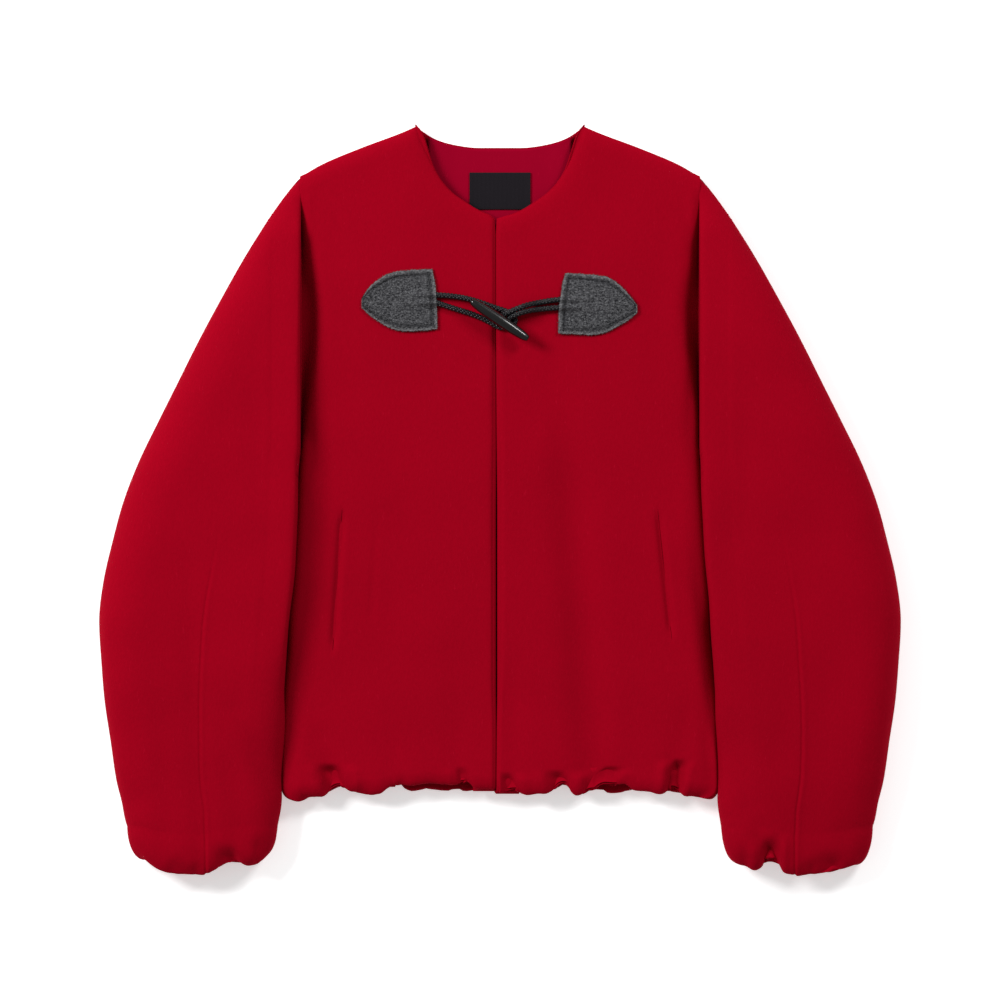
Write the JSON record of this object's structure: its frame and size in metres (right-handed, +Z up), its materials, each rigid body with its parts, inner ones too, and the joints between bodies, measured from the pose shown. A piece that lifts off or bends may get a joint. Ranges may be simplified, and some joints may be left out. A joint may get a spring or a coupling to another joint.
{
  "type": "wool bomber jacket",
  "caption": "Collarless wool blouson laid flat on its back, with balloon sleeves, bubble hem and cuffs, slit pockets, and a toggle and loop fastening on tweed patches.",
  "frame": {"origin": "on the surface that the jacket lies on, below the middle of the whole jacket", "axes": "+Z up from that surface, +Y towards the neck, +X across the jacket towards the front that carries the toggle"},
  "size_m": [0.7338, 0.6869, 0.041],
  "materials": {
    "red_wool": "brushed wool cloth with a short soft nap",
    "crimson_facing": "smooth lining cloth",
    "black_label": "bare woven label",
    "grey_tweed": "brushed grey tweed with a fuzzy edge",
    "black_cord": "braided cord",
    "black_horn": "polished horn-like"
  },
  "bodies": {
    "root": {"back": "red_wool", "front_left": "red_wool", "front_right": "red_wool", "sleeve_left_top": "red_wool", "sleeve_left_under": "red_wool", "sleeve_right_top": "red_wool", "sleeve_right_under": "red_wool", "pocket_facing_left": "red_wool", "pocket_facing_right": "red_wool", "back_neck_facing": "crimson_facing", "label": "black_label", "patch_left": "grey_tweed", "patch_right": "grey_tweed", "cord_loop_left": "black_cord", "cord_loop_right": "black_cord", "toggle": "black_horn"}
  },
  "joints": []
}
